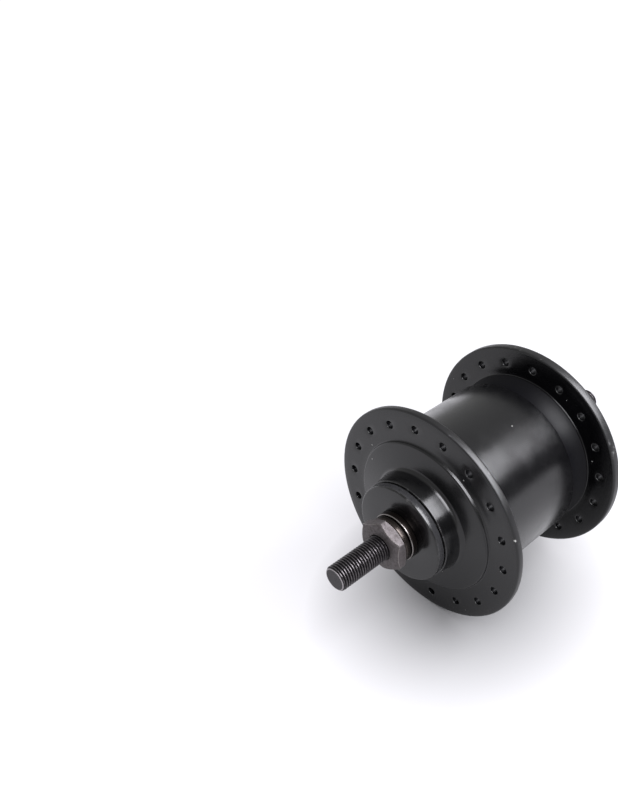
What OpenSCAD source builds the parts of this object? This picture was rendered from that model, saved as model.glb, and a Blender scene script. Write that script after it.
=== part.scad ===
// Front wheel hub dynamo on a solid threaded axle. The axle lies along Y.
// Outward sizes count from the middle of the hub towards a locknut.

/* [Fork fitting] */
// Space between each dust cap and its locknut, which spacers and washers fill
hardware_gap = 4.8; // [4.6:0.2:20]
// Length of each axle end that stands out of its locknut
axle_end_len = 20; // [12:0.5:40]
// Outer radius of the axle's thread
axle_r = 4.5; // [4:0.1:5.5]
// Length of the chamfer on each axle end
axle_chamfer_len = 0.6; // [0.2:0.1:1.5]
// Depth of the chamfer on each axle end
axle_chamfer_depth = 0.65; // [0.2:0.05:1.2]

/* [Shell] */
// Outer radius of the barrel
barrel_r = 30; // [25:0.5:40]
// Wall of the barrel
barrel_wall = 2; // [1.5:0.1:4]
// Distance between the outer faces of the two flanges
flange_span = 57.6; // [48:0.2:72]
// Distance from the right flange's outer face back to the end of the barrel
neck_len = 12.5; // [10:0.25:15]
// Depth of the right cap's spigot inside the barrel
spigot_len = 6.8; // [5:0.2:9]
// Wall of the right cap at its neck
neck_wall = 2; // [1.4:0.1:3]
// Step from the barrel's bore in to the neck
neck_inset = 1; // [0.5:0.1:2]
// Thickness from the flange's outer face to the inside of the end wall
end_wall = 3.2; // [2.5:0.1:4.5]
// Thickness of the web behind each bearing cup
web = 4.3; // [3.5:0.1:6]

/* [Flanges] */
// Height of each flange above the barrel
flange_height = 10.5; // [8.5:0.25:14]
// Thickness of the left flange
left_flange_t = 2.8; // [2:0.1:3]
// Thickness of the right flange
right_flange_t = 3.5; // [2.5:0.1:4.2]
// Chamfer on the rim of each flange
rim_chamfer = 0.4; // [0.2:0.1:0.8]
// Number of spoke holes in each flange
spokes = 18; // [10:1:20]
// Distance from the rim to the spoke hole circle
spoke_edge = 6; // [4:0.25:6.5]
// Radius of each spoke hole
spoke_hole_r = 1.45; // [1.2:0.05:1.6]
// Width of the countersink on each spoke hole
spoke_sink = 0.3; // [0.1:0.05:0.5]
// Height of the raised plateau on each end wall
plateau_step = 1.2; // [0.8:0.1:2]
// Distance from the barrel's surface in to the plateau's edge
plateau_inset = 1.25; // [0.5:0.25:3]
// Rise of the plateau from its edge to the boss
plateau_dome = 0.8; // [0.2:0.1:1.5]
// Wall of the boss around the bearing cup
boss_wall = 4.9; // [3.5:0.1:6]
// Taper of the boss from its root to its end
boss_taper = 0.6; // [0:0.1:1]

/* [Bearings] */
// Radius of each bearing ball
ball_r = 2.38; // [2:0.02:2.9]
// Number of balls on each side
balls = 10; // [7:1:10]
// Metal between the axle and the balls
cone_wall = 2.62; // [2.2:0.02:3.5]
// Wall of the cup outside the balls
cup_wall = 1.57; // [1.2:0.01:2.5]
// Floor of the cup behind the balls
cup_floor = 1.27; // [1:0.01:2]
// Height of the cup's rim above the balls
cup_lip = 0.92; // [0.7:0.01:1.5]
// Thickness of the cage ring
cage_t = 1.5; // [1:0.1:1.8]
// Depth of the seal in front of the cup
seal_depth = 1; // [0.8:0.1:2]

/* [Axle hardware] */
// Thickness of each dust cap
dust_cap_t = 2.9; // [2:0.1:5]
// Depth of the recess in the dust cap that the cone sits in
dust_cap_recess = 0.6; // [0.3:0.1:1.5]
// Thickness of each locknut
locknut_t = 4; // [3:0.1:5.5]
// Width across the flats of each locknut
locknut_af = 17; // [15:0.5:19]
// Thickness of the left lock washer
lock_washer_t = 1.9; // [1:0.1:2]
// Radius of the left lock washer
lock_washer_r = 8.6; // [7:0.1:9]
// Radius of the left spacer's collar
spacer_r = 8.9; // [8:0.1:12]
// Length of the narrow neck on the left spacer
spacer_neck_len = 0.6; // [0.2:0.1:0.6]
// Depth of the step down to the left spacer's neck
spacer_neck_step = 1.5; // [0.5:0.1:2]
// Thickness of the tabbed earth washer
earth_washer_t = 0.6; // [0.4:0.1:0.9]

/* [Generator] */
// Thickness of the back iron ring
back_iron_t = 1.6; // [1:0.1:2]
// Thickness of the magnets
magnet_t = 2.4; // [1.5:0.1:3]
// Gap at each end of the back iron ring
back_iron_end_gap = 1; // [0.5:0.1:2]
// Angle between the ends of neighbouring magnets
magnet_gap_deg = 4; // [2:0.5:10]
// Air gap between the magnets and the claws
air_gap = 0.4; // [0.3:0.05:0.8]
// Number of fingers on each claw
claw_fingers = 14; // [10:1:14]
// Width of each claw finger
finger_w = 3.4; // [2:0.1:3.6]
// Thickness of each claw finger
finger_t = 2.2; // [1.5:0.1:2.5]
// Thickness of each claw's disc
claw_disc_t = 2.6; // [2:0.1:3]
// Space between a finger's tip and the other claw
finger_tip_gap = 1.5; // [1:0.1:3]
// Outer radius of the iron core
core_r = 9; // [7.5:0.1:10]
// Wall of the plastic bobbin
bobbin_wall = 1.2; // [0.8:0.1:1.6]
// Thickness of the tape over the winding
tape_t = 0.35; // [0.2:0.05:0.6]
// Width across the flats of each stator nut
stator_nut_af = 15; // [13:0.5:17]
// Thickness of each stator nut
stator_nut_t = 3; // [2:0.1:4]

/* [Connector] */
// Thickness of the connector's ring on the axle
connector_ring_t = 3.2; // [2.6:0.1:3.4]
// Radius of the connector's ring
connector_ring_r = 13; // [12.5:0.1:16]
// Distance from the axle to the connector's mouth
connector_reach = 25.5; // [25:0.5:30]
// Width of the connector's block
connector_w = 14; // [13.5:0.5:18]
// Thickness of the connector's block
connector_t = 7.2; // [7:0.1:7.4]
// Wall around the connector's socket
connector_wall = 1.2; // [0.9:0.1:1.3]
// Depth of the connector's socket
socket_depth = 8; // [6:0.5:8]
// Width of each contact blade
contact_w = 3; // [2:0.1:3.5]
// Thickness of each contact blade
contact_t = 0.5; // [0.3:0.05:0.6]
// Radius of the insulated lead
lead_r = 0.9; // [0.6:0.05:1]

/* [Clearances] */
// Radial clearance of parts that fit in or on each other
fit_gap = 0.05; // [0.02:0.01:0.1]
// Clearance between the balls and their races
race_gap = 0.05; // [0.02:0.01:0.08]
// Gap between each dust cap and the turning shell
dust_gap = 0.4; // [0.2:0.05:0.8]
// Gap between each seal and its cone
seal_gap = 0.3; // [0.15:0.05:0.5]

/* [Hidden] */
$fn = 72;

// Outward places on both sides
half_span = flange_span / 2;
race_r = ball_r + race_gap;
inner_wall_y = half_span - end_wall;
cup_in_y = inner_wall_y + web;
ball_y = cup_in_y + cup_floor + race_r;
cup_out_y = ball_y + ball_r + cup_lip;
boss_end_y = cup_out_y + seal_depth;
dust_cap_in_y = boss_end_y + dust_gap;
dust_cap_out_y = dust_cap_in_y + dust_cap_t;
cone_out_y = dust_cap_in_y + dust_cap_recess;
locknut_in_y = dust_cap_out_y + hardware_gap;
half_locknut = locknut_in_y + locknut_t;
axle_half = half_locknut + axle_end_len;
lock_washer_in_y = locknut_in_y - lock_washer_t;
earth_washer_in_y = locknut_in_y - earth_washer_t;
connector_ring_in_y = earth_washer_in_y - connector_ring_t;

// Radii of the axle and the bearings
axle_fit_r = axle_r + fit_gap;
relief_depth = 0.3;
relief_len = 1.2;
relief_out = 0.2;
nut_face_inset = 0.3;
nut_chamfer_deg = 30;
left_locknut_deg = 33;
right_locknut_deg = 10;
ball_pitch_r = axle_r + cone_wall + ball_r;
cup_r = ball_pitch_r + race_r + cup_wall;
cup_seat_r = cup_r + fit_gap;
cup_floor_inset = 0.9;
cup_bore_r = ball_pitch_r - cup_floor_inset;
web_step = 2.5;
web_bore_r = cup_r - web_step;
cone_shoulder_inset = 0.2;
cone_shoulder_r = ball_pitch_r - cone_shoulder_inset;
cage_gap = 0.43;
cage_out_r = ball_pitch_r + race_r - cage_gap;
cage_front = 1;
cage_back = 0.62;
cage_pocket_gap = 0.12;
seal_end_gap = 0.05;

// Radii of the shell
flange_r = barrel_r + flange_height;
spoke_circle_r = flange_r - spoke_edge;
left_spoke_deg = 18.7;
right_spoke_deg = left_spoke_deg + 180 / spokes;
barrel_bore_r = barrel_r - barrel_wall;
barrel_end_y = half_span - neck_len;
barrel_end_chamfer = 0.3;
spigot_r = barrel_bore_r - fit_gap;
spigot_in_y = barrel_end_y - spigot_len;
neck_r = barrel_bore_r - neck_inset;
cap_bore_r = neck_r - neck_wall;
neck_straight = 1.2;
flare_edge_inset = 0.25;
flare_edge_gap = 0.75;
flare_start_y = barrel_end_y + neck_straight;
flare_end_y = half_span - right_flange_t - flare_edge_gap;
flare_w = barrel_r - flare_edge_inset - neck_r;
flare_h = flare_end_y - flare_start_y;
flare_r = (flare_w * flare_w + flare_h * flare_h) / (2 * flare_w);
flare_end_deg = 180 - asin(flare_h / flare_r);
plateau_r = barrel_r - plateau_inset;
plateau_foot = 0.5;
plateau_y = half_span + plateau_step;
plateau_top_y = plateau_y + plateau_dome;
boss_r = cup_r + boss_wall;
boss_root_r = boss_r + boss_taper;
boss_fillet = 1.5;
boss_chamfer = 0.3;
dust_cap_inset = 0.45;
dust_cap_r = boss_r - dust_cap_inset;
dust_cap_chamfer = 0.35;

// O-ring in the spigot
o_ring_r = 0.75;
o_groove_w = 1.8;
o_groove_y = spigot_in_y + spigot_len / 2;
o_ring_circle_r = barrel_bore_r - fit_gap - o_ring_r;
o_groove_r = o_ring_circle_r - o_ring_r - fit_gap;

// Generator
back_iron_r = barrel_bore_r - fit_gap;
back_iron_left_y = back_iron_end_gap - inner_wall_y;
back_iron_right_y = spigot_in_y - back_iron_end_gap;
back_iron_len = back_iron_right_y - back_iron_left_y;
magnet_r = back_iron_r - back_iron_t - fit_gap;
magnet_bore_r = magnet_r - magnet_t;
magnet_inset = 0.75;
magnets = 4;
stator_mid_y = (back_iron_left_y + back_iron_right_y) / 2;
stator_half = back_iron_len / 2 + 0.5;
claw_r = magnet_bore_r - air_gap;
finger_in_r = claw_r - finger_t;
finger_len = 2 * (stator_half - claw_disc_t) - finger_tip_gap;
bobbin_gap = 0.1;
bobbin_half = stator_half - claw_disc_t - bobbin_gap;
bobbin_r = finger_in_r - 0.4;
bobbin_hub_r = core_r + fit_gap + bobbin_wall;
winding_r = bobbin_r - tape_t - 0.1;
tape_r = winding_r + fit_gap + tape_t - 0.05;

// Lead and connector
lead_x = axle_r - lead_r - fit_gap;
lead_slot_half = lead_r + fit_gap;
lead_end_x = bobbin_hub_r - 2 * fit_gap;
lead_out_y = connector_ring_in_y + connector_ring_t / 2;
connector_in_y = connector_ring_in_y - 0.6;
connector_out_y = connector_in_y + connector_t;
connector_block_x = 11.5;
connector_bevel = 0.8;
contact_tail = 2.5;
contact_z = 2.7;
contact_in_x = connector_reach - socket_depth - contact_tail;
contact_out_x = connector_reach - 0.5;
contact_y = connector_in_y + connector_wall;

// Points of an arc about a centre
function arc(centre, r, from_deg, to_deg, steps = 8) = [
    for (i = [0:steps])
        let (a = from_deg + (to_deg - from_deg) * i / steps)
            centre + r * [cos(a), sin(a)]
];

// Turns a profile of [radius, outward] points about the axle, on the right
module turned(points) {
    rotate([-90, 0, 0])
        rotate_extrude($fn = 144)
            polygon(points);
}

// Puts what is built outward on the right onto the given side
module on_side(side) {
    mirror([0, side < 0 ? 1 : 0, 0])
        children();
}

// A plain ring about the axle
module ring(inner_r, outer_r, from_y, to_y) {
    turned([[inner_r, from_y], [outer_r, from_y], [outer_r, to_y], [inner_r, to_y]]);
}

// A solid rod along Y from one place to another
module rod(r, from_y, to_y) {
    translate([0, from_y, 0])
        rotate([-90, 0, 0])
            cylinder(r = r, h = to_y - from_y);
}

// A hexagon nut on the axle, chamfered on both faces
module hex_nut(af, from_y, to_y, turn_deg) {
    corner_r = af / sqrt(3);
    face_r = af / 2 - nut_face_inset;
    past_r = corner_r + 1;
    drop = (past_r - face_r) * tan(nut_chamfer_deg);
    difference() {
        intersection() {
            translate([0, from_y, 0])
                rotate([-90, 0, 0])
                    rotate([0, 0, -turn_deg])
                        cylinder(r = corner_r, h = to_y - from_y, $fn = 6);
            turned([
                [0, from_y], [face_r, from_y], [past_r, from_y + drop],
                [past_r, to_y - drop], [face_r, to_y], [0, to_y]
            ]);
        }
        rod(axle_fit_r, from_y - 1, to_y + 1);
    }
}

// Outline from the flange's inner edge over the plateau to the boss and into its bore
function end_outline(flange_t) = concat(
    [
        [flange_r - rim_chamfer, half_span - flange_t],
        [flange_r, half_span - flange_t + rim_chamfer],
        [flange_r, half_span - rim_chamfer],
        [flange_r - rim_chamfer, half_span]
    ],
    arc([plateau_r + plateau_foot, half_span + plateau_foot], plateau_foot, -90, -180, 4),
    arc([plateau_r - plateau_step + plateau_foot, half_span + plateau_foot],
        plateau_step - plateau_foot, 0, 90, 6),
    arc([boss_root_r + boss_fillet, plateau_top_y + boss_fillet], boss_fillet, -90, -180, 6),
    [
        [boss_r, boss_end_y - boss_chamfer],
        [boss_r - boss_chamfer, boss_end_y],
        [cup_seat_r, boss_end_y],
        [cup_seat_r, cup_in_y],
        [web_bore_r, cup_in_y]
    ]
);

// One flange's spoke holes with a countersink on each face
module spoke_holes(flange_t, start_deg) {
    sunk_r = spoke_hole_r + spoke_sink;
    inner_y = half_span - flange_t;
    for (i = [0:spokes - 1])
        rotate([0, -start_deg - i * 360 / spokes, 0])
            translate([spoke_circle_r, 0, 0])
                turned([
                    [0, inner_y - spoke_sink], [sunk_r + spoke_sink, inner_y - spoke_sink],
                    [spoke_hole_r, inner_y + spoke_sink], [spoke_hole_r, half_span - spoke_sink],
                    [sunk_r + spoke_sink, half_span + spoke_sink], [0, half_span + spoke_sink]
                ]);
}

// Left flange, end wall and barrel in one casting
module hub_shell() {
    color([0.07, 0.07, 0.08])
        on_side(-1)
            difference() {
                turned(concat(
                    [
                        [web_bore_r, inner_wall_y],
                        [barrel_bore_r, inner_wall_y],
                        [barrel_bore_r, -barrel_end_y],
                        [barrel_r - barrel_end_chamfer, -barrel_end_y],
                        [barrel_r, barrel_end_chamfer - barrel_end_y],
                        [barrel_r, half_span - left_flange_t]
                    ],
                    end_outline(left_flange_t)
                ));
                spoke_holes(left_flange_t, left_spoke_deg);
            }
}

// Right flange with its neck and the spigot that closes the barrel
module right_flange_cap() {
    color([0.07, 0.07, 0.08])
        difference() {
            turned(concat(
                [
                    [web_bore_r, inner_wall_y],
                    [cap_bore_r, inner_wall_y],
                    [cap_bore_r, spigot_in_y],
                    [spigot_r, spigot_in_y],
                    [spigot_r, o_groove_y - o_groove_w / 2],
                    [o_groove_r, o_groove_y - o_groove_w / 2],
                    [o_groove_r, o_groove_y + o_groove_w / 2],
                    [spigot_r, o_groove_y + o_groove_w / 2],
                    [spigot_r, barrel_end_y],
                    [neck_r, barrel_end_y]
                ],
                arc([neck_r + flare_r, flare_start_y], flare_r, 180, flare_end_deg, 10),
                [[barrel_r - flare_edge_inset, half_span - right_flange_t]],
                end_outline(right_flange_t)
            ));
            spoke_holes(right_flange_t, right_spoke_deg);
        }
}

// Rubber ring that seals the cap in the barrel
module cap_o_ring() {
    color([0.05, 0.05, 0.05])
        translate([0, o_groove_y, 0])
            rotate([-90, 0, 0])
                rotate_extrude($fn = 144)
                    translate([o_ring_circle_r, 0])
                        circle(r = o_ring_r, $fn = 32);
}

// Hardened bearing cup pressed into the boss
module cup(side) {
    color([0.55, 0.55, 0.57])
        on_side(side)
            rotate([-90, 0, 0])
                rotate_extrude($fn = 144)
                    difference() {
                        translate([cup_bore_r, cup_in_y])
                            square([cup_r - cup_bore_r, cup_out_y - cup_in_y]);
                        translate([ball_pitch_r, ball_y])
                            circle(r = race_r, $fn = 48);
                        translate([cup_bore_r - 1, ball_y - race_r])
                            square([ball_pitch_r - cup_bore_r + 1, race_r]);
                        translate([cup_bore_r - 1, ball_y])
                            square([ball_pitch_r + race_r - cup_bore_r + 1, race_r * 3]);
                    }
}

// Hardened cone on the axle that carries the balls
module cone(side) {
    color([0.5, 0.5, 0.52])
        on_side(side)
            rotate([-90, 0, 0])
                rotate_extrude($fn = 144)
                    difference() {
                        translate([axle_fit_r, ball_y - race_r])
                            square([cone_shoulder_r - axle_fit_r, cone_out_y - ball_y + race_r]);
                        translate([ball_pitch_r, ball_y])
                            circle(r = race_r, $fn = 48);
                        translate([ball_pitch_r - race_r, ball_y - race_r * 2])
                            square([race_r * 2, race_r * 2]);
                    }
}

// One side's set of loose bearing balls
module ball_set(side) {
    color([0.8, 0.8, 0.82])
        on_side(side)
            for (i = [0:balls - 1])
                rotate([0, i * 360 / balls, 0])
                    translate([ball_pitch_r, ball_y, 0])
                        sphere(r = ball_r, $fn = 32);
}

// Ring that keeps the balls apart
module cage(side) {
    color([0.6, 0.55, 0.4])
        on_side(side)
            difference() {
                ring(cage_out_r - cage_t, cage_out_r, ball_y - cage_front, ball_y + ball_r + cage_back);
                for (i = [0:balls - 1])
                    rotate([0, i * 360 / balls, 0])
                        translate([ball_pitch_r, ball_y, 0])
                            sphere(r = ball_r + cage_pocket_gap, $fn = 32);
            }
}

// Rubber seal in front of the cup
module seal(side) {
    color([0.06, 0.06, 0.06])
        on_side(side)
            ring(cone_shoulder_r + seal_gap, cup_r, cup_out_y + seal_end_gap, boss_end_y - seal_end_gap);
}

// Threaded axle with a slot for the lead on its right half
module axle() {
    relief_y = half_locknut + relief_out;
    color([0.2, 0.19, 0.18])
        difference() {
            union() {
                for (side = [-1, 1])
                    on_side(side)
                        turned([
                            [0, 0],
                            [axle_r, 0],
                            [axle_r, relief_y - relief_len],
                            [axle_r - relief_depth, relief_y - relief_len],
                            [axle_r - relief_depth, relief_y],
                            [axle_r, relief_y],
                            [axle_r, axle_half - axle_chamfer_len],
                            [axle_r - axle_chamfer_depth, axle_half],
                            [0, axle_half]
                        ]);
            }
            translate([-axle_r - 1, stator_mid_y - lead_slot_half, -lead_slot_half])
                cube([
                    1 + axle_r - lead_x + lead_slot_half,
                    lead_out_y - stator_mid_y + 2 * lead_slot_half,
                    2 * lead_slot_half
                ]);
        }
}

// Steel cap that covers the bearing and stands still with the axle
module dust_cap(side) {
    color([0.1, 0.1, 0.11])
        on_side(side)
            turned([
                [axle_fit_r, cone_out_y],
                [cone_shoulder_r + fit_gap, cone_out_y],
                [cone_shoulder_r + fit_gap, dust_cap_in_y],
                [dust_cap_r, dust_cap_in_y],
                [dust_cap_r, dust_cap_out_y - dust_cap_chamfer],
                [dust_cap_r - dust_cap_chamfer, dust_cap_out_y],
                [axle_fit_r, dust_cap_out_y]
            ]);
}

// Collar between the left dust cap and the lock washer
module left_spacer() {
    collar_y = lock_washer_in_y - spacer_neck_len;
    neck_edge_r = spacer_r - spacer_neck_step;
    color([0.3, 0.27, 0.24])
        on_side(-1)
            turned([
                [axle_fit_r, dust_cap_out_y],
                [spacer_r, dust_cap_out_y],
                [spacer_r, collar_y],
                [neck_edge_r, collar_y],
                [neck_edge_r, lock_washer_in_y],
                [axle_fit_r, lock_washer_in_y]
            ]);
}

module left_lock_washer() {
    color([0.33, 0.3, 0.27])
        on_side(-1)
            ring(axle_fit_r, lock_washer_r, lock_washer_in_y, locknut_in_y);
}

module locknut(side, turn_deg) {
    color([0.42, 0.39, 0.37])
        on_side(side)
            hex_nut(locknut_af, locknut_in_y, half_locknut, turn_deg);
}

// Thin ring that fills the right side up to the connector
module right_spacer() {
    color([0.33, 0.3, 0.27])
        ring(axle_fit_r, lock_washer_r, dust_cap_out_y, connector_ring_in_y);
}

// Washer with a tab that earths the axle to the connector
module earth_washer() {
    tab_w = 4;
    tab_reach = connector_block_x - 0.3;
    color([0.6, 0.58, 0.5])
        difference() {
            union() {
                ring(axle_fit_r, lock_washer_r, earth_washer_in_y, locknut_in_y);
                translate([-tab_reach, earth_washer_in_y, -tab_w / 2])
                    cube([tab_reach - axle_fit_r, earth_washer_t, tab_w]);
            }
            rod(axle_fit_r, earth_washer_in_y - 1, locknut_in_y + 1);
        }
}

// Plastic ring and block with a socket for the lamp lead's plug
module connector_housing() {
    socket_w = connector_w - 2 * connector_wall;
    socket_t = connector_t - 2 * connector_wall;
    color([0.09, 0.09, 0.1])
        difference() {
            union() {
                ring(axle_fit_r, connector_ring_r, connector_ring_in_y, earth_washer_in_y);
                connector_block();
            }
            translate([-connector_reach - 1, contact_y, -socket_w / 2])
                cube([socket_depth + 1, socket_t, socket_w]);
            for (z = [-contact_z, contact_z])
                translate([-contact_in_x - contact_tail - 1, contact_y - fit_gap, z - contact_w / 2 - fit_gap])
                    cube([contact_tail + 1 + fit_gap, contact_t + 2 * fit_gap, contact_w + 2 * fit_gap]);
            lead_tunnel();
        }
}

// The connector's block, with bevelled corners, outside the locknut's corners
module connector_block() {
    half_w = connector_w / 2;
    bevel = connector_bevel;
    translate([0, connector_out_y, 0])
        rotate([90, 0, 0])
            linear_extrude(height = connector_t)
                polygon([
                    [-connector_block_x, -half_w],
                    [-connector_block_x, half_w],
                    [bevel - connector_reach, half_w],
                    [-connector_reach, half_w - bevel],
                    [-connector_reach, bevel - half_w],
                    [bevel - connector_reach, -half_w]
                ]);
}

// Way through the connector's ring and block for the lead
module lead_tunnel() {
    translate([-contact_in_x - 1, lead_out_y, 0])
        rotate([0, 90, 0])
            cylinder(r = lead_slot_half, h = contact_in_x + 1);
}

// One contact blade on the inner wall of the socket
module contact(z) {
    color([0.75, 0.65, 0.4])
        translate([-contact_out_x, contact_y, z - contact_w / 2])
            cube([contact_out_x - contact_in_x, contact_t, contact_w]);
}

// Insulated lead from the winding, along the axle's slot, to the connector
module lead_wire() {
    color([0.45, 0.05, 0.05])
        union() {
            translate([-lead_x, 0, 0])
                rod(lead_r, stator_mid_y, lead_out_y);
            translate([-lead_end_x, stator_mid_y, 0])
                rotate([0, 90, 0])
                    cylinder(r = lead_r, h = lead_end_x - lead_x);
            translate([-contact_in_x, lead_out_y, 0])
                rotate([0, 90, 0])
                    cylinder(r = lead_r, h = contact_in_x - lead_x);
            for (y = [stator_mid_y, lead_out_y])
                translate([-lead_x, y, 0])
                    sphere(r = lead_r);
        }
}

// Iron sleeve inside the winding
module stator_core() {
    color([0.4, 0.4, 0.42])
        difference() {
            ring(axle_fit_r, core_r, stator_mid_y - stator_half + claw_disc_t,
                stator_mid_y + stator_half - claw_disc_t);
            winding_lead_hole();
        }
}

// Radial hole for the lead under the winding
module winding_lead_hole() {
    translate([-bobbin_hub_r - 1, stator_mid_y, 0])
        rotate([0, 90, 0])
            cylinder(r = lead_slot_half, h = bobbin_hub_r + 1);
}

// Iron disc with a crown of fingers that reach over the winding
module claw(side) {
    disc_in_y = stator_half - claw_disc_t;
    turn_deg = side < 0 ? 0 : 180 / claw_fingers;
    color([0.45, 0.45, 0.47])
        translate([0, stator_mid_y, 0])
            on_side(side)
                union() {
                    ring(axle_fit_r, claw_r, disc_in_y, stator_half);
                    intersection() {
                        ring(finger_in_r, claw_r, disc_in_y - finger_len, stator_half);
                        for (i = [0:claw_fingers - 1])
                            rotate([0, turn_deg + i * 360 / claw_fingers, 0])
                                translate([finger_in_r - 1, disc_in_y - finger_len, -finger_w / 2])
                                    cube([finger_t + 2, finger_len + claw_disc_t, finger_w]);
                    }
                }
}

// Plastic spool that carries the winding
module bobbin() {
    color([0.85, 0.83, 0.75])
        difference() {
            translate([0, stator_mid_y, 0])
                turned([
                    [core_r + fit_gap, -bobbin_half],
                    [bobbin_r, -bobbin_half],
                    [bobbin_r, bobbin_wall - bobbin_half],
                    [bobbin_hub_r, bobbin_wall - bobbin_half],
                    [bobbin_hub_r, bobbin_half - bobbin_wall],
                    [bobbin_r, bobbin_half - bobbin_wall],
                    [bobbin_r, bobbin_half],
                    [core_r + fit_gap, bobbin_half]
                ]);
            winding_lead_hole();
        }
}

module winding() {
    winding_half = bobbin_half - bobbin_wall - fit_gap;
    color([0.72, 0.38, 0.18])
        translate([0, stator_mid_y, 0])
            ring(bobbin_hub_r + fit_gap, winding_r, -winding_half, winding_half);
}

module winding_tape() {
    tape_half = bobbin_half - bobbin_wall - fit_gap;
    color([0.8, 0.7, 0.25])
        translate([0, stator_mid_y, 0])
            ring(winding_r + fit_gap, tape_r, -tape_half, tape_half);
}

// Nut that clamps the stator on the axle
module stator_nut(side) {
    color([0.5, 0.5, 0.52])
        translate([0, stator_mid_y, 0])
            on_side(side)
                hex_nut(stator_nut_af, stator_half, stator_half + stator_nut_t, 0);
}

// Iron ring behind the magnets, pressed into the barrel
module back_iron() {
    color([0.4, 0.4, 0.42])
        ring(back_iron_r - back_iron_t, back_iron_r, back_iron_left_y, back_iron_right_y);
}

// One of four curved magnets
module magnet(index) {
    half_deg = 180 / magnets - magnet_gap_deg / 2;
    far_r = magnet_r * 2;
    color([0.25, 0.25, 0.28])
        rotate([0, index * 360 / magnets, 0])
            intersection() {
                ring(magnet_bore_r, magnet_r, back_iron_left_y + magnet_inset,
                    back_iron_right_y - magnet_inset);
                translate([0, back_iron_left_y, 0])
                    rotate([-90, 0, 0])
                        linear_extrude(height = back_iron_len)
                            polygon([
                                [0, 0],
                                far_r * [cos(half_deg), -sin(half_deg)],
                                [far_r, 0],
                                far_r * [cos(half_deg), sin(half_deg)]
                            ]);
            }
}

axle();
cone(-1);  // left_cone
cone(1);  // right_cone
dust_cap(-1);  // left_dust_cap
dust_cap(1);  // right_dust_cap
left_spacer();
left_lock_washer();
locknut(-1, left_locknut_deg);  // left_locknut
right_spacer();
connector_housing();
contact(contact_z);  // contact_live
contact(-contact_z);  // contact_earth
earth_washer();
locknut(1, right_locknut_deg);  // right_locknut
lead_wire();
stator_core();
claw(-1);  // left_claw
claw(1);  // right_claw
bobbin();
winding();
winding_tape();
stator_nut(-1);  // left_stator_nut
stator_nut(1);  // right_stator_nut
hub_shell();
right_flange_cap();
cap_o_ring();
cup(-1);  // left_cup
cup(1);  // right_cup
seal(-1);  // left_seal
seal(1);  // right_seal
back_iron();
magnet(0);  // magnet_1
magnet(1);  // magnet_2
magnet(2);  // magnet_3
magnet(3);  // magnet_4
ball_set(-1);  // left_balls
cage(-1);  // left_cage
ball_set(1);  // right_balls
cage(1);  // right_cage
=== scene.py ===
"""Front wheel hub dynamo: cast, turned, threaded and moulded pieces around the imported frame."""
import math
from functools import cached_property

import bmesh
import bpy
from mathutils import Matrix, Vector


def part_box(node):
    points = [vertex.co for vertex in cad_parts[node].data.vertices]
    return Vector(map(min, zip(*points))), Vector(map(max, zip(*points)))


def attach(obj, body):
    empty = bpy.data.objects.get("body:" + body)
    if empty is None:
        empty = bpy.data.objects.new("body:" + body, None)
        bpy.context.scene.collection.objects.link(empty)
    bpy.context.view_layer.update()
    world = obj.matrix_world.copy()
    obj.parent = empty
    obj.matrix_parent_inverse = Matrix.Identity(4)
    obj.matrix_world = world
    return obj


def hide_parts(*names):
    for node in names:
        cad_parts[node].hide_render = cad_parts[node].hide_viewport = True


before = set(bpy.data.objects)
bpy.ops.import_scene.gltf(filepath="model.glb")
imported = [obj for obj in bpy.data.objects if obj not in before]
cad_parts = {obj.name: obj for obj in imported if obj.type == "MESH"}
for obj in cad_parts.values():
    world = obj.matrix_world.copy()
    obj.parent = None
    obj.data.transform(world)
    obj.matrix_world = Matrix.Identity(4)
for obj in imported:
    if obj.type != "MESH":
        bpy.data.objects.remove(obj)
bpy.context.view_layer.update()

MM = 0.001
LEFT, RIGHT = -1, 1


# ---------------------------------------------------------------- sizes in mm, read from the frame

def reach(node):
    """A turned CAD node's outer radius and its two end y, the one nearer to the hub's middle first."""
    low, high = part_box(node)
    near, far = sorted((low.y / MM, high.y / MM), key=abs)
    return high.x / MM, near, far


FLANGE_R, BARREL_END_Y, BOSS_END_Y = reach("hub_shell")
BOSS_END_Y = abs(BOSS_END_Y)
SPIGOT_IN_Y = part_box("right_flange_cap")[0].y / MM
DUST_CAP_R, DUST_CAP_IN_Y, DUST_CAP_OUT_Y = reach("right_dust_cap")
SPACER_R = reach("left_spacer")[0]
SPACER_FACE_R = reach("right_spacer")[0]
WASHER_R, WASHER_IN_Y, WASHER_OUT_Y = (abs(v) for v in reach("left_lock_washer"))
AXLE_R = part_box("axle")[1].x / MM
AXLE_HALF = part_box("axle")[1].y / MM
NUT_IN_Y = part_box("right_locknut")[0].y / MM
NUT_OUT_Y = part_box("right_locknut")[1].y / MM
FIT_GAP = 0.05
BORE_R = AXLE_R + FIT_GAP


# ---------------------------------------------------------------- other sizes in mm, and angles

HALF_SPAN = 28.8
INNER_WALL_Y = 25.6
LEFT_FLANGE_T = 2.8
RIGHT_FLANGE_T = 3.5
BARREL_R = 30.0
BARREL_BORE_R = 28.0
NECK_R = 27.0
CAP_BORE_R = 25.0
FLARE_START_Y = BARREL_END_Y + 1.2
FLARE_END_Y = HALF_SPAN - RIGHT_FLANGE_T - 0.75
FLARE_END_R = BARREL_R - 0.25
NECK_FINISH_END_Y = FLARE_END_Y + 0.6
RIM_ROUND = 0.75
PLATEAU_FOOT_R = 28.85
PLATEAU_TOP_R = 28.6
PLATEAU_Y = 30.0
BOSS_ROOT_R = 19.0
BOSS_ROOT_Y = 30.8
BOSS_R = 18.4
BOSS_EDGE_ROUND = 0.3
BOSS_SIDE_FROM_Y = BOSS_ROOT_Y + 1.2
CUP_SEAT_R = 13.55
CUP_IN_Y = 29.9
WEB_BORE_R = 11.0
GROOVE_R = 26.35
GROOVE_W = 1.8
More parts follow.
